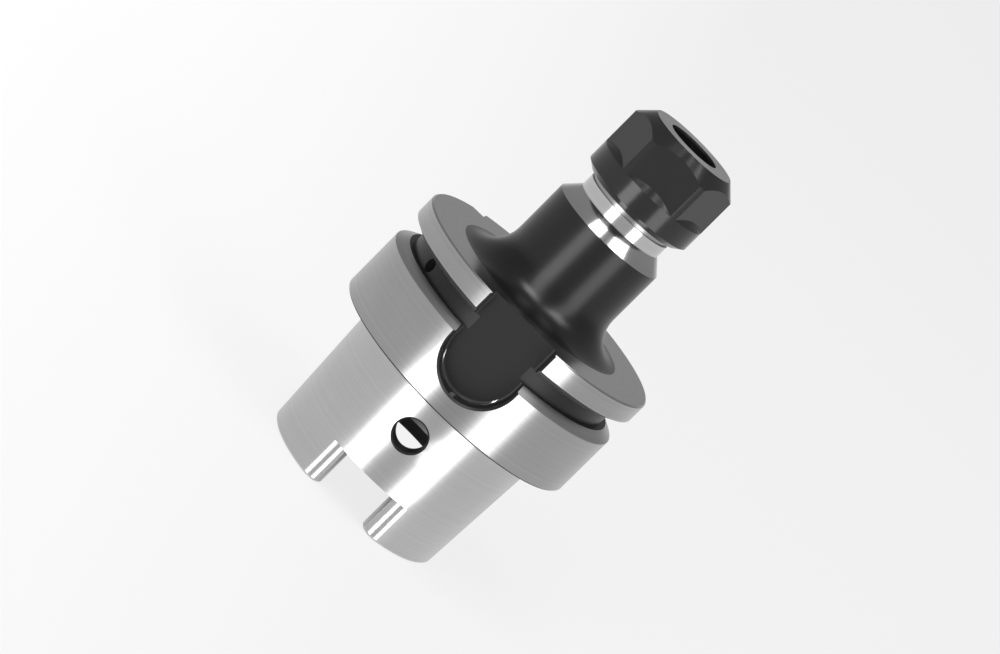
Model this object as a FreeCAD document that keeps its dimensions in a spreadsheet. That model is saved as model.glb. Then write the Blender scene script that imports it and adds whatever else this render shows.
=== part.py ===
"""Collet chuck holder: a hollow taper shank with a face-contact flange, a slim nose and a hexagon clamping nut.

The chuck stands on the end of its shank. +Z runs up its axis to the nut, and the origin is the centre of the
shank's end face. The wide key slot, the shallow drive slot and one access hole face -Y. Heights named as being
"above the face" are measured from the flange's contact face, which lies shank_length above the origin.
"""
import FreeCAD, Part
import math
import os

import Sketcher

os.makedirs("parts", exist_ok=True)

DIMENSIONS = (
    # the taper shank
    ("shank_length", 32.0, "shank end to the flange's contact face"),
    ("gauge_diameter", 48.01, "taper diameter at the gauge plane"),
    ("gauge_distance", 6.3, "gauge plane below the contact face"),
    ("taper_ratio", 9.98, "length over which the diameter changes by 1"),
    ("shank_chamfer", 0.5, "chamfer round the shank's end"),
    ("relief_width", 1.4, "grinding relief in the contact face, round the shank"),
    ("relief_depth", 0.7, "depth of the grinding relief"),
    # inside the shank
    ("clamping_bore", 34.0, "bore that the drawbar's fingers enter"),
    ("bore_chamfer", 1.0, "chamfer at the bore's mouth"),
    ("undercut_diameter", 37.0, "chamber that the fingers open into"),
    ("shoulder_distance", 18.13, "middle of the clamping shoulder below the face"),
    ("shoulder_angle", 30.0, "clamping shoulder to the axis"),
    ("chamber_floor", 3.0, "chamber's floor below the face"),
    ("chamber_fillet", 1.5, "radius round the chamber's floor"),
    ("coolant_thread", 16.92, "core of the coolant tube's M18 x 1 thread"),
    ("coolant_thread_length", 11.0, "length of that thread"),
    ("coolant_bore", 13.0, "seal bore above the thread"),
    ("coolant_bore_length", 6.0, "length of the seal bore"),
    ("shank_bore", 10.4, "clearance for the tool shank"),
    ("drill_angle", 59.0, "half angle of the drill points"),
    # slots and holes in the shank
    ("drive_width", 12.54, "width of both drive slots"),
    ("drive_depth_near", 10.0, "depth of the shallow drive slot"),
    ("drive_depth_far", 13.0, "depth of the deep drive slot"),
    ("drive_rounding", 3.0, "rounding along the drive slots' outer edges"),
    ("access_hole", 7.5, "diameter of the two access holes"),
    ("access_distance", 9.4, "access holes below the face"),
    ("access_chamfer", 0.4, "chamfer round the access holes"),
    # the flange
    ("flange_diameter", 63.0, "flange"),
    ("flange_thickness", 26.0, "contact face to the flange's front"),
    ("flange_chamfer", 0.35, "chamfer on the flange's outer edges"),
    ("groove_height", 18.0, "middle of the gripper groove above the face"),
    ("groove_mouth", 6.84, "width of the groove at the rim"),
    ("groove_slot", 3.75, "width of the groove's straight part"),
    ("groove_flank", 30.0, "groove flank to the flange's plane"),
    ("groove_depth", 4.0, "depth of the groove from the rim"),
    ("key_width_near", 18.0, "width of the wide key slot"),
    ("key_depth_near", 5.0, "its depth from the rim"),
    ("key_width_far", 16.0, "width of the narrow key slot"),
    ("key_depth_far", 11.5, "its depth from the rim"),
    ("key_end", 4.6, "closed end of the key slots above the face"),
    ("key_chamfer", 0.5, "chamfer round the wide key slot"),
    ("key_floor_fillet", 0.8, "radius between its floor and its wall"),
    ("notch_width", 6.0, "orientation notch at the rim"),
    ("notch_depth", 2.4, "depth of the orientation notch"),
    ("notch_bearing", -135.0, "bearing of the notch from -Y"),
    ("balance_hole", 3.2, "radial hole in the gripper groove"),
    ("balance_depth", 5.0, "depth of that hole"),
    ("balance_bearing", -53.0, "bearing of that hole from -Y"),
    # the nose
    ("nose_diameter", 28.0, "body between flange and nut"),
    ("nose_fillet", 8.0, "sweep from the flange into the body"),
    ("nose_shoulder", 46.9, "top of the body above the face"),
    ("neck_bottom", 50.2, "top of the cone above the face"),
    ("neck_top", 53.1, "start of the thread above the face"),
    ("thread_diameter", 22.0, "M22 x 1.5 thread for the nut"),
    ("thread_pitch", 1.5, "its pitch"),
    ("thread_play", 0.06, "radial play of the nut on its thread"),
    ("nose_end", 65.9, "end of the nose above the face"),
    ("nose_chamfer", 0.6, "chamfer at the end of the nose"),
    ("seat_mouth", 16.4, "collet seat at the end of the nose"),
    ("seat_angle", 8.0, "collet seat to the axis"),
    ("seat_length", 17.0, "depth of the collet seat"),
    # the clamping nut
    ("nut_length", 18.1, "clamping nut"),
    ("nut_diameter", 28.0, "its collar, and the hexagon over corners"),
    ("nut_flats", 25.0, "hexagon across flats"),
    ("collar_length", 6.0, "round collar behind the hexagon"),
    ("collar_chamfer", 1.7, "width of the collar's rear chamfer"),
    ("collar_chamfer_height", 1.3, "height of that chamfer"),
    ("nut_face", 21.4, "flat front face inside the 45 degree chamfer"),
    ("nut_entry", 0.6, "chamfer where the nut's thread starts"),
    ("nut_opening", 12.8, "opening for the collet and the tool"),
    ("nut_lip", 0.5, "straight lip at the opening"),
    ("press_mouth", 16.8, "wide end of the cone that presses on the collet"),
    ("press_angle", 30.0, "that cone to the axis"),
    # the extractor ring
    ("ring_diameter", 21.9, "extractor ring"),
    ("ring_thickness", 2.2, "its thickness"),
    ("ring_opening", 14.8, "its eccentric opening"),
    ("ring_offset", 0.7, "how far that opening is off the axis"),
    ("ring_chamfer", 0.3, "chamfer round the ring's opening"),
    ("ring_slit", 1.2, "slit that lets the ring spring into the nut"),
    ("ring_play", 0.05, "play round the ring and on each of its faces"),
    ("ring_gap", 0.3, "end of the nose to the ring with the nut screwed home"),
)

document = FreeCAD.newDocument("collet_chuck_holder")
dims = document.addObject("Spreadsheet::Sheet", "dims")
for row, (alias, value, meaning) in enumerate(DIMENSIONS, start=1):
    dims.set(f"A{row}", meaning)
    dims.set(f"B{row}", str(value))
    dims.setAlias(f"B{row}", alias)
document.recompute()

# Heights and radii that several outlines share, written from the sheet's values.
FACE = "dims.shank_length"
GROOVE = f"({FACE} + dims.groove_height)"
RIM = "dims.flange_diameter / 2"
GROOVE_ROOT = f"({RIM} - dims.groove_depth)"
FRONT = f"({FACE} + dims.flange_thickness)"
NOSE = "dims.nose_diameter / 2"
NOSE_END = f"({FACE} + dims.nose_end)"
PITCH_RADIUS = "(dims.thread_diameter - 3 * sqrt(3) / 8 * dims.thread_pitch) / 2"
FLANK_RADIUS = f"({RIM} - (dims.groove_mouth - dims.groove_slot) / 2 / tan(dims.groove_flank))"
# Heights inside the nut, from its rear face.
RING_SEAT_TOP = (
    "(dims.nut_length - dims.nut_lip - (dims.press_mouth - dims.nut_opening) / 2 / tan(dims.press_angle))"
)
RING_REST = f"({RING_SEAT_TOP} - dims.ring_play - dims.ring_thickness)"
NUT_REAR = f"({NOSE_END} + dims.ring_gap - {RING_REST})"


def taper_radius(height):
    """Expression for the shank's radius at a height above the origin."""
    drop = f"({FACE} - dims.gauge_distance - ({height}))"
    return f"(dims.gauge_diameter - {drop} / dims.taper_ratio) / 2"


def size(alias):
    """Present value of a named dimension."""
    return float(getattr(dims, alias))


def sketch_on(body, role, name, offset=None):
    """New sketch on one of the body's own planes, moved by an AttachmentOffset expression if one is given."""
    plane = next(feature for feature in body.Origin.OriginFeatures if feature.Role == role)
    sketch = body.newObject("Sketcher::SketchObject", name)
    sketch.AttachmentSupport = [(plane, "")]
    sketch.MapMode = "FlatFace"
    if offset:
        sketch.setExpression("AttachmentOffset", offset)
    return sketch


def bind(sketch, kind, *places, expression):
    """Dimension in a sketch whose size is an expression of the sheet's values."""
    index = sketch.addConstraint(Sketcher.Constraint(kind, *places, 1.0))
    sketch.setExpression(f"Constraints[{index}]", expression)


def outline(sketch, corners):
    """Closed run of straight lines through corners, each a pair of expressions: across, up."""
    count = len(corners)
    ring = [
        FreeCAD.Vector(math.cos(2 * math.pi * k / count), math.sin(2 * math.pi * k / count), 0) for k in range(count)
    ]
    for k in range(count):
        sketch.addGeometry(Part.LineSegment(ring[k], ring[(k + 1) % count]), False)
    for k, (across, up) in enumerate(corners):
        sketch.addConstraint(Sketcher.Constraint("Coincident", k, 2, (k + 1) % count, 1))
        bind(sketch, "DistanceX", -1, 1, k, 1, expression=across)
        bind(sketch, "DistanceY", -1, 1, k, 1, expression=up)
    return sketch


def circle(sketch, diameter, across="0", up="0"):
    """Circle of a given diameter about a point."""
    index = sketch.addGeometry(Part.Circle(FreeCAD.Vector(1, 1, 0), FreeCAD.Vector(0, 0, 1), 1), False)
    bind(sketch, "DistanceX", -1, 1, index, 3, expression=across)
    bind(sketch, "DistanceY", -1, 1, index, 3, expression=up)
    bind(sketch, "Diameter", index, expression=diameter)
    return sketch


def round_ended_slot(sketch, width, bottom, top):
    """Slot along the sketch's Y axis: a half circle at the bottom, open straight sides up to the top."""
    start = FreeCAD.Vector(-1, 0, 0)
    corners = (start, FreeCAD.Vector(1, 0, 0), FreeCAD.Vector(1, 2, 0), FreeCAD.Vector(-1, 2, 0))
    sketch.addGeometry(Part.Arc(corners[0], FreeCAD.Vector(0, -1, 0), corners[1]), False)
    for first, second in zip(corners[1:], corners[2:] + corners[:1]):
        sketch.addGeometry(Part.LineSegment(first, second), False)
    arc, right, roof, left = range(4)
    for first, end, second, beginning in (
        (arc, 2, right, 1),
        (right, 2, roof, 1),
        (roof, 2, left, 1),
        (left, 2, arc, 1),
    ):
        sketch.addConstraint(Sketcher.Constraint("Coincident", first, end, second, beginning))
    sketch.addConstraint(Sketcher.Constraint("Vertical", right))
    sketch.addConstraint(Sketcher.Constraint("Horizontal", roof))
    sketch.addConstraint(Sketcher.Constraint("Vertical", left))
    sketch.addConstraint(Sketcher.Constraint("PointOnObject", arc, 3, -2))
    for end in (1, 2):
        sketch.addConstraint(Sketcher.Constraint("Horizontal", arc, 3, arc, end))
    bind(sketch, "Radius", arc, expression=f"{width} / 2")
    bind(sketch, "DistanceY", -1, 1, arc, 3, expression=f"{bottom} + {width} / 2")
    bind(sketch, "DistanceY", -1, 1, right, 2, expression=top)
    return sketch


def revolved(body, kind, name, sketch):
    """Revolution or Groove of a sketch about the body's Z axis."""
    feature = body.newObject(f"PartDesign::{kind}", name)
    feature.Profile = sketch
    feature.ReferenceAxis = (sketch, ["V_Axis"])
    feature.Angle = 360
    document.recompute()
    return feature


def padded(body, name, sketch, length):
    """Pad of a sketch along its normal."""
    feature = body.newObject("PartDesign::Pad", name)
    feature.Profile = sketch
    feature.setExpression("Length", length)
    document.recompute()
    return feature


def pocketed(body, name, sketch, length, both_ways=False):
    """Pocket that cuts along the sketch's normal, or both ways from it. It has to remove something."""
    before = body.Shape.Volume
    feature = body.newObject("PartDesign::Pocket", name)
    feature.Profile = sketch
    feature.Reversed = True
    feature.SideType = "Symmetric" if both_ways else "One side"
    feature.setExpression("Length", length)
    document.recompute()
    if body.Shape.Volume >= before:
        raise RuntimeError(f"{name} cuts nothing")
    return feature


def edges_where(shape, test):
    """Names of the edges all of whose ends and middle pass a test."""
    names = []
    for number, edge in enumerate(shape.Edges, start=1):
        middle = edge.valueAt((edge.FirstParameter + edge.LastParameter) / 2)
        points = [vertex.Point for vertex in edge.Vertexes] + [middle]
        if all(test(point) for point in points):
            names.append(f"Edge{number}")
    return names


def dressed(body, kind, name, test, measure):
    """Fillet or chamfer of the edges that pass a test."""
    base = body.Tip
    names = edges_where(base.Shape, test)
    if not names:
        raise RuntimeError(f"{name} finds no edge")
    feature = body.newObject(f"PartDesign::{kind}", name)
    feature.Base = (base, names)
    feature.setExpression("Radius" if kind == "Fillet" else "Size", measure)
    document.recompute()
    return feature


def near(value, target, slack=0.01):
    """Whether two lengths agree."""
    return abs(value - target) < slack


def radius_of(point):
    """Distance of a point from the axis."""
    return math.hypot(point.x, point.y)


def turned_plane(bearing, reach, height):
    """AttachmentOffset for an XZ plane sketch: turned to a bearing from -Y, moved out by reach and up."""
    base = f"vector({reach} * sin({bearing}); {height}; {reach} * cos({bearing}))"
    return f"placement({base}; rotation(vector(0; 1; 0); {bearing}))"


def make_chuck_body():
    """One turned and ground piece of steel: shank, flange, body, neck and threaded nose."""
    body = document.addObject("PartDesign::Body", "chuck_body")
    relief_top = f"({FACE} + dims.relief_depth)"
    relief_outside = f"({taper_radius(FACE)} + dims.relief_width)"
    chamfer = "dims.flange_chamfer"
    thread_radius = f"({PITCH_RADIUS} - dims.thread_play / 2)"
    profile = outline(
        sketch_on(body, "XZ_Plane", "outer_profile"),
        (
            ("0", "0"),
            (taper_radius("0"), "0"),
            (taper_radius(FACE), FACE),
            (taper_radius(FACE), relief_top),
            (relief_outside, relief_top),
            (relief_outside, FACE),
            (f"{RIM} - {chamfer}", FACE),
            (RIM, f"{FACE} + {chamfer}"),
            (RIM, f"{GROOVE} - dims.groove_mouth / 2"),
            (FLANK_RADIUS, f"{GROOVE} - dims.groove_slot / 2"),
            (GROOVE_ROOT, f"{GROOVE} - dims.groove_slot / 2"),
            (GROOVE_ROOT, f"{GROOVE} + dims.groove_slot / 2"),
            (FLANK_RADIUS, f"{GROOVE} + dims.groove_slot / 2"),
            (RIM, f"{GROOVE} + dims.groove_mouth / 2"),
            (RIM, f"{FRONT} - {chamfer}"),
            (f"{RIM} - {chamfer}", FRONT),
            (NOSE, FRONT),
            (NOSE, f"{FACE} + dims.nose_shoulder"),
            ("dims.thread_diameter / 2", f"{FACE} + dims.neck_bottom"),
            ("dims.thread_diameter / 2", f"{FACE} + dims.neck_top"),
            (thread_radius, f"{FACE} + dims.neck_top"),
            (thread_radius, f"{NOSE_END} - dims.nose_chamfer"),
            (f"{thread_radius} - dims.nose_chamfer", NOSE_END),
            ("0", NOSE_END),
        ),
    )
    revolved(body, "Revolution", "turned_blank", profile)

    front = size("shank_length") + size("flange_thickness")
    nose_radius = size("nose_diameter") / 2
    dressed(
        body,
        "Fillet",
        "nose_sweep",
        lambda p: near(p.z, front) and near(radius_of(p), nose_radius),
        "dims.nose_fillet",
    )
    cut_inside(body)
    cut_shank(body)
    cut_flange(body)
    return body


def cut_inside(body):
    """Everything bored from the two ends: drawbar chamber, coolant tube seat, clearance bore and collet seat."""
    floor = f"({FACE} - dims.chamber_floor)"
    half_rise = "(dims.undercut_diameter - dims.clamping_bore) / 4 / tan(dims.shoulder_angle)"
    shoulder = f"({FACE} - dims.shoulder_distance)"
    thread_top = f"({floor} + dims.coolant_thread_length)"
    seal_top = f"({thread_top} + dims.coolant_bore_length)"
    drill_rise = "(dims.coolant_bore - dims.shank_bore) / 2 / tan(dims.drill_angle)"
    seat_bottom = f"({NOSE_END} - dims.seat_length)"
    seat_end_radius = "(dims.seat_mouth / 2 - dims.seat_length * tan(dims.seat_angle))"
    profile = outline(
        sketch_on(body, "XZ_Plane", "inner_profile"),
        (
            ("0", "0"),
            ("dims.clamping_bore / 2 + dims.bore_chamfer", "0"),
            ("dims.clamping_bore / 2", "dims.bore_chamfer"),
            ("dims.clamping_bore / 2", f"{shoulder} - {half_rise}"),
            ("dims.undercut_diameter / 2", f"{shoulder} + {half_rise}"),
            ("dims.undercut_diameter / 2", floor),
            ("dims.coolant_thread / 2", floor),
            ("dims.coolant_thread / 2", thread_top),
            ("dims.coolant_bore / 2", thread_top),
            ("dims.coolant_bore / 2", seal_top),
            ("dims.shank_bore / 2", f"{seal_top} + {drill_rise}"),
            ("dims.shank_bore / 2", seat_bottom),
            (seat_end_radius, seat_bottom),
            ("dims.seat_mouth / 2", NOSE_END),
            ("0", NOSE_END),
        ),
    )
    revolved(body, "Groove", "bored_inside", profile)
    floor_height = size("shank_length") - size("chamber_floor")
    chamber_radius = size("undercut_diameter") / 2
    dressed(
        body,
        "Fillet",
        "chamber_corner",
        lambda p: near(p.z, floor_height) and near(radius_of(p), chamber_radius),
        "dims.chamber_fillet",
    )


def cut_shank(body):
    """Two drive slots of different depth and two access holes, in line with the key slots."""
    half = "dims.drive_width / 2"
    for name, depth, turn in (("near", "dims.drive_depth_near", "0"), ("far", "dims.drive_depth_far", "180")):
        slot = outline(
            sketch_on(body, "XZ_Plane", f"drive_slot_{name}", turned_plane(turn, "0", "0")),
            ((f"-{half}", "-1"), (half, "-1"), (half, depth), (f"-{half}", depth)),
        )
        pocketed(body, f"drive_cut_{name}", slot, "dims.gauge_diameter / 2")
    wall_middle = (size("clamping_bore") + size("gauge_diameter")) / 4
    half_width = size("drive_width") / 2
    deepest = max(size("drive_depth_near"), size("drive_depth_far"))

    def drive_edge(point):
        return near(abs(point.x), half_width) and radius_of(point) > wall_middle and point.z < deepest + 0.01

    dressed(body, "Fillet", "drive_edges", drive_edge, "dims.drive_rounding")
    dressed(
        body,
        "Chamfer",
        "shank_end_edges",
        lambda p: near(p.z, 0) and radius_of(p) > wall_middle,
        "dims.shank_chamfer",
    )

    holes = circle(
        sketch_on(body, "XZ_Plane", "access_circle"), "dims.access_hole", up=f"{FACE} - dims.access_distance"
    )
    pocketed(body, "access_holes", holes, "2 * dims.gauge_diameter", both_ways=True)
    hole_height = size("shank_length") - size("access_distance")
    hole_radius = size("access_hole") / 2

    def hole_edge(point):
        outside = abs(point.y) > wall_middle
        return outside and near(math.hypot(point.x, point.z - hole_height), hole_radius)

    dressed(body, "Chamfer", "access_edges", hole_edge, "dims.access_chamfer")


def cut_flange(body):
    """Key slots, the orientation notch and the radial hole in the gripper groove."""
    above = f"{FRONT} + 1"
    for name, turn in (("near", "0"), ("far", "180")):
        width = f"dims.key_width_{name}"
        floor = f"({RIM} - dims.key_depth_{name})"
        slot = round_ended_slot(
            sketch_on(body, "XZ_Plane", f"key_slot_{name}", turned_plane(turn, floor, "0")),
            width,
            f"({FACE} + dims.key_end)",
            above,
        )
        pocketed(body, f"key_cut_{name}", slot, "dims.flange_diameter")
    rim = size("flange_diameter") / 2
    floor_near = rim - size("key_depth_near")
    half_width = size("key_width_near") / 2
    face = size("shank_length")
    arch_height = face + size("key_end") + half_width

    def on_slot_wall(point):
        beside = near(abs(point.x), half_width) and point.z > arch_height - 0.01
        below = near(math.hypot(point.x, point.z - arch_height), half_width) and point.z < arch_height + 0.01
        return point.y < 0 and (beside or below)

    dressed(
        body,
        "Fillet",
        "key_floor_corner",
        lambda p: on_slot_wall(p) and near(p.y, -floor_near),
        "dims.key_floor_fillet",
    )
    dressed(
        body,
        "Chamfer",
        "key_edges",
        lambda p: on_slot_wall(p) and near(radius_of(p), rim),
        "dims.key_chamfer",
    )

    notch = outline(
        sketch_on(body, "XY_Plane", "notch_outline", f"placement(vector(0; 0; {GROOVE}); "
                  "rotation(vector(0; 0; 1); dims.notch_bearing))"),
        (
            ("0", f"-({RIM} - dims.notch_depth)"),
            ("dims.notch_width", f"-({RIM} - dims.notch_depth + 2 * dims.notch_depth)"),
            ("-dims.notch_width", f"-({RIM} - dims.notch_depth + 2 * dims.notch_depth)"),
        ),
    )
    pocketed(body, "notch_cut", notch, "dims.flange_thickness - dims.groove_height + 1")

    hole = circle(
        sketch_on(
            body,
            "XZ_Plane",
            "balance_circle",
            turned_plane("dims.balance_bearing", f"({GROOVE_ROOT} - dims.balance_depth)", "0"),
        ),
        "dims.balance_hole",
        up=GROOVE,
    )
    pocketed(body, "balance_cut", hole, "dims.balance_depth + 1")


def make_clamping_nut():
    """Hexagon nut with a round collar, a bored thread, a seat for the ring and the cone that presses the collet."""
    body = document.addObject("PartDesign::Body", "clamping_nut")
    body.setExpression("Placement.Base.z", NUT_REAR)
    corner = "dims.nut_flats / sqrt(3)"
    hexagon = outline(
        sketch_on(body, "XY_Plane", "hexagon", "placement(vector(0; 0; dims.collar_length / 2); rotation(0; 0; 0))"),
        [(f"{corner} * cos({60 * k})", f"{corner} * sin({60 * k})") for k in range(6)],
    )
    padded(body, "hexagon_bar", hexagon, "dims.nut_length - dims.collar_length / 2")
    outer = "dims.nut_diameter / 2"
    trimming = outline(
        sketch_on(body, "XZ_Plane", "corner_profile"),
        (
            ("dims.nut_face / 2", "dims.nut_length"),
            (outer, f"dims.nut_length - ({outer} - dims.nut_face / 2)"),
            (outer, "0"),
            ("dims.nut_diameter", "0"),
            ("dims.nut_diameter", "dims.nut_length"),
        ),
    )
    revolved(body, "Groove", "turned_corners", trimming)
    inner_flat = "(dims.nut_flats / 2 - 1)"
    collar = outline(
        sketch_on(body, "XZ_Plane", "collar_profile"),
        (
            ("0", "0"),
            (f"{outer} - dims.collar_chamfer", "0"),
            (outer, "dims.collar_chamfer_height"),
            (outer, "dims.collar_length"),
            (inner_flat, f"dims.collar_length + {outer} - {inner_flat}"),
            ("0", f"dims.collar_length + {outer} - {inner_flat}"),
        ),
    )
    revolved(body, "Revolution", "collar", collar)
    bore = f"({PITCH_RADIUS} + dims.thread_play / 2)"
    seat = "(dims.ring_diameter / 2 + dims.ring_play)"
    seat_bottom = f"({RING_REST} - dims.ring_play)"
    inside = outline(
        sketch_on(body, "XZ_Plane", "nut_inner_profile"),
        (
            ("0", "0"),
            (f"{bore} + dims.nut_entry", "0"),
            (bore, "dims.nut_entry"),
            (bore, seat_bottom),
            (seat, seat_bottom),
            (seat, RING_SEAT_TOP),
            ("dims.press_mouth / 2", RING_SEAT_TOP),
            ("dims.nut_opening / 2", "dims.nut_length - dims.nut_lip"),
            ("dims.nut_opening / 2", "dims.nut_length"),
            ("0", "dims.nut_length"),
        ),
    )
    revolved(body, "Groove", "nut_bored", inside)
    return body


def make_extractor_ring():
    """Slit ring that turns in the nut. Its opening is off the axis, to hook behind the collet's rim."""
    body = document.addObject("PartDesign::Body", "extractor_ring")
    body.setExpression("Placement.Base.z", f"{NUT_REAR} + {RING_REST}")
    plan = circle(sketch_on(body, "XY_Plane", "ring_plan"), "dims.ring_diameter")
    circle(plan, "dims.ring_opening", across="dims.ring_offset")
    padded(body, "ring_blank", plan, "dims.ring_thickness")
    offset = size("ring_offset")
    opening = size("ring_opening") / 2
    dressed(
        body,
        "Chamfer",
        "ring_edges",
        lambda p: near(math.hypot(p.x - offset, p.y), opening) and p.z in (0, size("ring_thickness")),
        "dims.ring_chamfer",
    )
    slit = outline(
        sketch_on(body, "XY_Plane", "slit_plan"),
        (
            ("0", "-dims.ring_slit / 2"),
            ("0", "dims.ring_slit / 2"),
            ("-dims.ring_diameter", "dims.ring_slit / 2"),
            ("-dims.ring_diameter", "-dims.ring_slit / 2"),
        ),
    )
    pocketed(body, "ring_slit_cut", slit, "dims.ring_thickness")
    return body


def write_parts(bodies):
    """Check every feature and every body, then write one STEP file a body."""
    document.recompute()
    for item in document.Objects:
        if "Invalid" in item.State or "Error" in item.State:
            raise RuntimeError(f"{item.Name} failed: {item.State}")
    for body in bodies:
        shape = body.Shape
        if shape.isNull() or not shape.isValid() or len(shape.Solids) != 1:
            raise RuntimeError(f"{body.Label} is not one valid solid")
        shape.exportStep(f"parts/{body.Label}.step")
        print(f"{body.Label}: {shape.Volume / 1000:.2f} cm3, {len(shape.Faces)} faces")


write_parts([make_chuck_body(), make_clamping_nut(), make_extractor_ring()])
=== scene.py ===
"""Collet chuck holder: looks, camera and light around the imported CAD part."""
import math

import bpy
from mathutils import Matrix, Vector


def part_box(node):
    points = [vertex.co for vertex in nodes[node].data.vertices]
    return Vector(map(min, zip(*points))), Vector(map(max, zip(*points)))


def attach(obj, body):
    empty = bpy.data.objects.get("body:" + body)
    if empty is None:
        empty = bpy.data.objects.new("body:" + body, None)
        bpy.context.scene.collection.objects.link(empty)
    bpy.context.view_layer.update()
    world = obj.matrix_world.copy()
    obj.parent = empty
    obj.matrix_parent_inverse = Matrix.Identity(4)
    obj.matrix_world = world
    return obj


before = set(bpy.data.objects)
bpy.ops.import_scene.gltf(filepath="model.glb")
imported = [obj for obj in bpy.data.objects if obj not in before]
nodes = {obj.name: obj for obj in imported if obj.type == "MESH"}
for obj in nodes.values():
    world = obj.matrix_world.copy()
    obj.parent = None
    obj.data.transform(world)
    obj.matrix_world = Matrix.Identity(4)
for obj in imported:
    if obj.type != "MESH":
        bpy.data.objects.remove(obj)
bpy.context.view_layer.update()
MM = 0.001

# Heights above the shank's end and distances from the axis, in millimetres, as in the part's source.
FACE = 32.0                             # rear face of the flange, which seats on the spindle
FRONT = FACE + 26.0                     # front face of the flange
RIM = 31.5
GROOVE_ROOT = RIM - 4.0
GROOVE_MIDDLE = FACE + 18.0
GROOVE_LOW = GROOVE_MIDDLE - 3.4        # the groove's mouth at the rim
GROOVE_HIGH = GROOVE_MIDDLE + 3.5
FORK_HALF = 1.95                        # just past the walls of the groove's straight part
FORK_RADIUS = 28.83                     # where those walls end
KEY_LOW = 35.0                          # below the closed ends of both key slots
KEY_FLOOR_NEAR = RIM - 5.0
KEY_FLOOR_FAR = RIM - 11.5
KEY_REACH_NEAR = 9.7                    # half width with the chamfer
KEY_REACH_FAR = 8.7
KEY_FILLET = 0.9                        # just over the radius at the slot's floor
CHAMBER = 19.2                          # outside the chamber's wall
BORES = 10.3                            # outside the collet seat and the tool's bore
COOLANT_SEAT = 18.6
ACCESS_HEIGHT = 22.6
ACCESS_EDGE = 4.2                       # just past the chamfer round the access holes
SHOULDER = 78.9
NECK_TOP = 85.1
NOSE_END = 97.9
THREAD_CREST = 11.0
PITCH_RADIUS = 10.48
THREAD_LEAD = 1.5
SLACK = 0.01


def clear_default():
    for name in ("Cube", "Light", "Camera"):
        thing = bpy.data.objects.get(name)
        if thing:
            bpy.data.objects.remove(thing)


clear_default()


# ---------------------------------------------------------------- materials

def steel(name, color, rough, metallic=1.0, aniso=0.0, turned=0.0, lines=900.0, patch=0.0, specular=0.5):
    """Steel whose tone varies along the turning lines by `turned` and in soft patches by `patch`."""
    mat = bpy.data.materials.new(name)
    mat.use_nodes = True
    tree = mat.node_tree
    bsdf = tree.nodes["Principled BSDF"]
    bsdf.inputs["Base Color"].default_value = (*color, 1)
    bsdf.inputs["Metallic"].default_value = metallic
    bsdf.inputs["Roughness"].default_value = rough
    bsdf.inputs["Specular IOR Level"].default_value = specular
    new, link = tree.nodes.new, tree.links.new
    if aniso:
        bsdf.inputs["Anisotropic"].default_value = aniso
        bsdf.inputs["Anisotropic Rotation"].default_value = 0.25
        tangent = new("ShaderNodeTangent")
        tangent.direction_type = "RADIAL"
        tangent.axis = "Z"
        link(tangent.outputs[0], bsdf.inputs["Tangent"])
    if not (turned or patch):
        return mat
    coords = new("ShaderNodeTexCoord")
    split = new("ShaderNodeSeparateXYZ")
    link(coords.outputs["Object"], split.inputs[0])
    flat = new("ShaderNodeCombineXYZ")
    link(split.outputs["X"], flat.inputs["X"])
    link(split.outputs["Y"], flat.inputs["Y"])
    radius = new("ShaderNodeVectorMath")
    radius.operation = "LENGTH"
    link(flat.outputs[0], radius.inputs[0])
    along = new("ShaderNodeMath")
    along.operation = "ADD"
    link(radius.outputs["Value"], along.inputs[0])
    link(split.outputs["Z"], along.inputs[1])
    rings = new("ShaderNodeTexNoise")
    rings.noise_dimensions = "1D"
    rings.inputs["Scale"].default_value = lines
    rings.inputs["Detail"].default_value = 3
    link(along.outputs[0], rings.inputs["W"])
    clouds = new("ShaderNodeTexNoise")
    clouds.inputs["Scale"].default_value = 70
    clouds.inputs["Detail"].default_value = 3
    link(coords.outputs["Object"], clouds.inputs["Vector"])

    def span(source, amount):
        scaled = new("ShaderNodeMapRange")
        scaled.inputs["From Min"].default_value = 0.3
        scaled.inputs["From Max"].default_value = 0.7
        scaled.inputs["To Min"].default_value = 1 - amount
        scaled.inputs["To Max"].default_value = 1 + amount
        link(source, scaled.inputs["Value"])
        return scaled.outputs["Result"]

    product = new("ShaderNodeMath")
    product.operation = "MULTIPLY"
    link(span(rings.outputs[0], turned), product.inputs[0])
    link(span(clouds.outputs[0], patch), product.inputs[1])
    tone = new("ShaderNodeVectorMath")
    tone.operation = "SCALE"
    tone.inputs[0].default_value = color
    link(product.outputs[0], tone.inputs["Scale"])
    link(tone.outputs[0], bsdf.inputs["Base Color"])
    return mat


def grey(value):
    """A steel's grey, a trace bluer than neutral."""
    return value, value, value * 1.005


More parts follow.
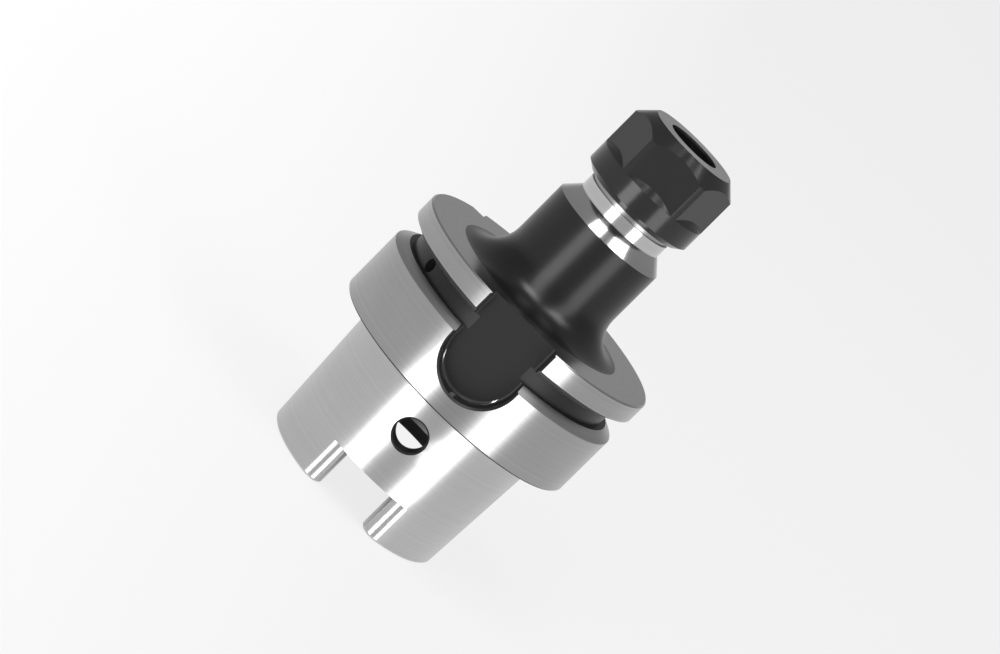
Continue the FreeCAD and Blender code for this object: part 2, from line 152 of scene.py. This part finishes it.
MATS = {
    "shank": steel("ground_shank", grey(0.60), 0.33, aniso=0.9, turned=0.03, lines=1500, patch=0.03),
    "flange": steel("ground_flange", grey(0.43), 0.31, aniso=0.9, turned=0.04, lines=1500, patch=0.03),
    "flank": steel("turned_flank", grey(0.42), 0.30, aniso=0.6, turned=0.06, lines=1800),
    # near black: painted shade on the groove's deep walls, the access holes' walls and the flange's rear
    # chamfer
    "edge": steel("painted_shade_edge", grey(0.015), 0.45, metallic=0.0, patch=0.05, specular=0.3),
    # near black: painted shade on the gripper groove's bottom
    "groove": steel("groove_bottom_painted_shade", grey(0.008), 0.38, metallic=0.0, turned=0.06, specular=0.3),
    "front": steel("satin_front", grey(0.42), 0.22, turned=0.05, lines=1600),
    "black": steel("black_oxide", grey(0.006), 0.26, metallic=0.0, turned=0.06, patch=0.05, specular=0.34),
    "pocket": steel("pocket_black", grey(0.010), 0.40, metallic=0.0, patch=0.08, specular=0.28),
    "polished": steel("polished_neck", grey(0.55), 0.12, turned=0.04, lines=2500),
    "thread": steel("thread_steel", grey(0.34), 0.24, turned=0.05),
    "inside": steel("bored_steel", grey(0.22), 0.40, turned=0.08),
    "nut": steel("nut_black", grey(0.010), 0.17, metallic=0.0, patch=0.05, specular=0.42),
    "nut_face": steel("nut_face", grey(0.50), 0.38, aniso=0.5, turned=0.08, lines=1500),
    "nut_inside": steel("nut_inside", grey(0.02), 0.45, metallic=0.4),
    "ring": steel("extractor_steel", grey(0.20), 0.35, turned=0.05),
}


def paint(node, region):
    """Gives each face of a CAD node the material that its place and direction call for."""
    mesh = nodes[node].data
    mesh.materials.clear()
    order = []
    for polygon in mesh.polygons:
        centre = polygon.center / MM
        radius = math.hypot(centre.x, centre.y)
        outward = (centre.x * polygon.normal.x + centre.y * polygon.normal.y) / radius
        key = region(centre, polygon.normal, radius, outward)
        if key not in order:
            order.append(key)
            mesh.materials.append(MATS[key])
        polygon.material_index = order.index(key)


def shank_region(centre, radius, outward):
    """The ground taper, the access holes' walls painted near black as shade, and the bored chamber."""
    from_hole = math.hypot(centre.x, centre.z - ACCESS_HEIGHT)
    # painted shade: the access holes' walls and chamfers get the near-black edge material
    if radius > CHAMBER - 1.2 and from_hole < ACCESS_EDGE and abs(outward) < 0.9:
        return "edge"
    if radius < CHAMBER and outward < 0.3:
        return "inside"
    return "shank"


def in_key_slot(centre, normal, radius, outward):
    """Whether a face belongs to the floor, the wall or an edge of one of the two key slots."""
    if radius > RIM - SLACK or centre.z < KEY_LOW:
        return False
    across_axis = abs(outward) < 0.75
    if centre.y < -25.0 and abs(centre.x) < KEY_REACH_NEAR and abs(normal.z) < 0.999:
        on_floor = abs(centre.y + KEY_FLOOR_NEAR) < KEY_FILLET
        return (on_floor or across_axis) and abs(radius - GROOVE_ROOT) > 0.05
    if centre.y > 19.0 and abs(centre.x) < KEY_REACH_FAR:
        return abs(centre.y - KEY_FLOOR_FAR) < KEY_FILLET or across_axis
    return False


def flange_region(centre, normal, radius, outward):
    """The ground rims, the gripper groove, the key slots and the satin front face, with painted shade on
    the groove's deep walls, its bottom and the rear chamfer.
    """
    if radius < COOLANT_SEAT and normal.z < 0.9:
        return "inside"
    in_groove = GROOVE_LOW < centre.z < GROOVE_HIGH and GROOVE_ROOT - 0.2 < radius < RIM - SLACK
    in_fork = abs(centre.z - GROOVE_MIDDLE) < FORK_HALF and radius < FORK_RADIUS
    # painted shade on the groove's deep straight walls
    if in_groove and abs(normal.z) > 0.45:
        return "edge" if in_fork else "flank"
    if in_key_slot(centre, normal, radius, outward):
        return "pocket"
    # painted shade on the groove's bottom
    if abs(radius - GROOVE_ROOT) < 0.1 and outward > 0.9:
        return "groove"
    # the rest of the groove's deep straight part gets painted shade too
    if in_fork:
        return "edge"
    if in_groove:
        return "flank"
    if normal.z > 0.9 and centre.z > FRONT - SLACK:
        return "front"
    # painted shade on the flange's rear chamfer
    rear_chamfer = centre.z < FACE + 0.34 and normal.z < -0.3 and outward > 0.3
    return "edge" if rear_chamfer else "flange"


def chuck_region(centre, normal, radius, outward):
    if centre.z < FACE - SLACK:
        return shank_region(centre, radius, outward)
    if radius < BORES:
        return "inside"
    if centre.z < FRONT + SLACK:
        return flange_region(centre, normal, radius, outward)
    if centre.z < SHOULDER - SLACK:
        return "black"
    if centre.z < NECK_TOP - SLACK:
        return "polished"
    return "thread"


nut_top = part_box("clamping_nut")[1].z / MM


def nut_region(centre, normal, radius, outward):
    if normal.z > 0.95 and centre.z > nut_top - 0.05:
        return "nut_face"
    if outward < -0.2 or (radius < 10.8 and abs(normal.z) < 0.99):
        return "nut_inside"
    return "nut"


def ring_region(centre, normal, radius, outward):
    return "ring"


paint("chuck_body", chuck_region)
paint("clamping_nut", nut_region)
paint("extractor_ring", ring_region)


# ---------------------------------------------------------------- thread on the nose

def mesh_piece(name, points, faces, material, body):
    mesh = bpy.data.meshes.new(name)
    mesh.from_pydata([Vector(p) * MM for p in points], [], faces)
    mesh.validate()
    thing = bpy.data.objects.new(name, mesh)
    bpy.context.scene.collection.objects.link(thing)
    mesh.materials.append(material)
    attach(thing, body)
    return thing


def thread_piece():
    """One closed ridge that winds up the nose, from the neck to the nose's end."""
    steps = 72            # round one turn
    run_out = 18          # steps over which the ridge rises and fades
    low = NECK_TOP + 0.45
    high = NOSE_END - 1.1
    root = PITCH_RADIUS - 0.12
    half_base = 0.62
    half_crest = 0.12
    turns = (high - low) / THREAD_LEAD
    count = int(turns * steps)
    points, faces = [], []
    for k in range(count + 1):
        angle = 2 * math.pi * k / steps
        z = low + THREAD_LEAD * k / steps
        grow = min(1, k / run_out, (count - k) / run_out)
        crest = root + (THREAD_CREST - root) * max(grow, 0.02)
        section = ((root, -half_base), (crest, -half_crest), (crest, half_crest), (root, half_base))
        for radius, dz in section:
            points.append((radius * math.cos(angle), radius * math.sin(angle), z + dz))
    for k in range(count):
        a, b = 4 * k, 4 * k + 4
        for i in range(4):
            j = (i + 1) % 4
            faces.append((a + i, b + i, b + j, a + j))
    faces.append((0, 1, 2, 3))
    last = 4 * count
    faces.append((last + 3, last + 2, last + 1, last))
    return mesh_piece("nose_thread", points, faces, MATS["thread"], "chuck")


thread_piece()


# ---------------------------------------------------------------- camera

AZIMUTH, ELEVATION, ROLL = math.radians(-2.2), math.radians(12.021), math.radians(45.079)
DISTANCE = 938.26
SHIFT_ACROSS, SHIFT_UP = -9.406, -12.117
right = Vector((math.cos(AZIMUTH), math.sin(AZIMUTH), 0))
back = Vector((
    math.cos(ELEVATION) * math.sin(AZIMUTH),
    -math.cos(ELEVATION) * math.cos(AZIMUTH),
    math.sin(ELEVATION),
))
level = back.cross(right)
across = math.cos(ROLL) * right + math.sin(ROLL) * level
upward = -math.sin(ROLL) * right + math.cos(ROLL) * level
place = DISTANCE * back - SHIFT_ACROSS * across - SHIFT_UP * upward + Vector((0, 0, FACE))
lens = bpy.data.cameras.new("camera")
lens.sensor_fit = "HORIZONTAL"
lens.sensor_width = 36
lens.lens = 158.41
lens.clip_end = 100
camera = bpy.data.objects.new("camera", lens)
bpy.context.scene.collection.objects.link(camera)
turn = Matrix((across, upward, back)).transposed()
camera.matrix_world = Matrix.Translation(place * MM) @ turn.to_4x4()
bpy.context.scene.camera = camera


# ---------------------------------------------------------------- light

def lamp(name, bearing, elevation, distance, lift, width, height, radiance):
    """Soft lamp that faces the axis. The bearing is in degrees round the axis, from the camera's side."""
    angle = math.radians(bearing) + AZIMUTH
    rise = math.radians(elevation)
    toward = Vector((
        math.cos(rise) * math.sin(angle),
        -math.cos(rise) * math.cos(angle),
        math.sin(rise),
    ))
    light = bpy.data.lights.new(name, "AREA")
    light.shape = "RECTANGLE"
    light.size = width
    light.size_y = height
    light.energy = radiance * math.pi * width * height
    thing = bpy.data.objects.new(name, light)
    bpy.context.scene.collection.objects.link(thing)
    x_axis = Vector((0, 0, 1)).cross(toward).normalized()
    y_axis = toward.cross(x_axis)
    pose = Matrix((x_axis, y_axis, toward)).transposed().to_4x4()
    thing.matrix_world = Matrix.Translation(toward * distance + Vector((0, 0, lift))) @ pose
    thing.visible_camera = False


def strip(name, bearing, span, radiance):
    """Tall strip lamp that spans so many degrees round the axis and draws a light band along cylinders."""
    distance = 1.1
    low, high = -1.2, 6.0
    width = 2 * distance * math.tan(math.radians(span / 2))
    lamp(name, bearing, 0, distance, (low + high) / 2, width, high - low, radiance)


def cap(name, bearing, elevation, width, height, radiance):
    """Small lamp above the chuck, for the cone and the foot of the sweep."""
    lamp(name, bearing, elevation, 1.5, 0, width, height, radiance)


strip("strip_left", -21.3, 22.6, 4.2)
strip("strip_right", 46.3, 24.6, 3.0)
cap("cap_left", -38, 66, 0.40, 0.40, 8.0)
cap("cap_right", 62, 62, 0.55, 0.45, 5.0)

world = bpy.data.worlds.new("studio")
bpy.context.scene.world = world
world.use_nodes = True
wt = world.node_tree
sky = wt.nodes["Background"]
coords = wt.nodes.new("ShaderNodeTexCoord")
split = wt.nodes.new("ShaderNodeSeparateXYZ")
wt.links.new(coords.outputs["Generated"], split.inputs[0])
fade = wt.nodes.new("ShaderNodeMapRange")
fade.inputs["From Min"].default_value = -0.10
fade.inputs["From Max"].default_value = 0.25
fade.inputs["To Min"].default_value = 0.78
fade.inputs["To Max"].default_value = 0.32
wt.links.new(split.outputs["Z"], fade.inputs["Value"])
gap_bearing, gap_drop = math.radians(12) + AZIMUTH, math.radians(-12)
gap_middle = (
    math.cos(gap_drop) * math.sin(gap_bearing),
    -math.cos(gap_drop) * math.cos(gap_bearing),
    math.sin(gap_drop),
)
toward_gap = wt.nodes.new("ShaderNodeVectorMath")
toward_gap.operation = "DOT_PRODUCT"
toward_gap.inputs[1].default_value = gap_middle
wt.links.new(coords.outputs["Generated"], toward_gap.inputs[0])
shade = wt.nodes.new("ShaderNodeMapRange")
shade.interpolation_type = "SMOOTHSTEP"
shade.inputs["From Min"].default_value = math.cos(math.radians(24))
shade.inputs["From Max"].default_value = math.cos(math.radians(16))
shade.inputs["To Min"].default_value = 1.0
shade.inputs["To Max"].default_value = 0.7
wt.links.new(toward_gap.outputs["Value"], shade.inputs["Value"])
product = wt.nodes.new("ShaderNodeMath")
product.operation = "MULTIPLY"
wt.links.new(fade.outputs["Result"], product.inputs[0])
wt.links.new(shade.outputs["Result"], product.inputs[1])
wt.links.new(product.outputs[0], sky.inputs["Strength"])
sky.inputs["Color"].default_value = (1, 1, 1, 1)

floor_mesh = bpy.data.meshes.new("floor")
reach = 12.0
corners = [(-reach, -reach, 0), (reach, -reach, 0), (reach, reach, 0), (-reach, reach, 0)]
floor_mesh.from_pydata(corners, [], [(0, 1, 2, 3)])
floor = bpy.data.objects.new("floor", floor_mesh)
bpy.context.scene.collection.objects.link(floor)
floor.location.z = -0.0002
floor.visible_glossy = False
floor.visible_shadow = False
paper = bpy.data.materials.new("floor_paper")
paper.use_nodes = True
pt = paper.node_tree
pt.nodes.remove(pt.nodes["Principled BSDF"])
diffuse = pt.nodes.new("ShaderNodeBsdfDiffuse")
diffuse.inputs["Color"].default_value = (0.09, 0.09, 0.09, 1)
glow = pt.nodes.new("ShaderNodeEmission")
glow.inputs["Color"].default_value = (1, 1, 1, 1)
spot = pt.nodes.new("ShaderNodeTexCoord")
spot_split = pt.nodes.new("ShaderNodeSeparateXYZ")
pt.links.new(spot.outputs["Object"], spot_split.inputs[0])
# painted light: camera rays see the floor's glow brighter towards the floor's -X side, fading from 0.93 to
# 0.80
sweep = pt.nodes.new("ShaderNodeMapRange")
sweep.inputs["From Min"].default_value = -0.16
sweep.inputs["From Max"].default_value = 0.02
sweep.inputs["To Min"].default_value = 0.93
sweep.inputs["To Max"].default_value = 0.80
pt.links.new(spot_split.outputs["X"], sweep.inputs["Value"])
pt.links.new(sweep.outputs["Result"], glow.inputs["Strength"])
both = pt.nodes.new("ShaderNodeAddShader")
pt.links.new(diffuse.outputs[0], both.inputs[0])
pt.links.new(glow.outputs[0], both.inputs[1])
plain = pt.nodes.new("ShaderNodeBsdfDiffuse")
plain.inputs["Color"].default_value = (0.6, 0.6, 0.6, 1)
path = pt.nodes.new("ShaderNodeLightPath")
pick = pt.nodes.new("ShaderNodeMixShader")
pt.links.new(path.outputs["Is Camera Ray"], pick.inputs[0])
pt.links.new(plain.outputs[0], pick.inputs[1])
pt.links.new(both.outputs[0], pick.inputs[2])
pt.links.new(pick.outputs[0], pt.nodes["Material Output"].inputs["Surface"])
floor_mesh.materials.append(paper)

bpy.context.scene.view_settings.view_transform = "Standard"
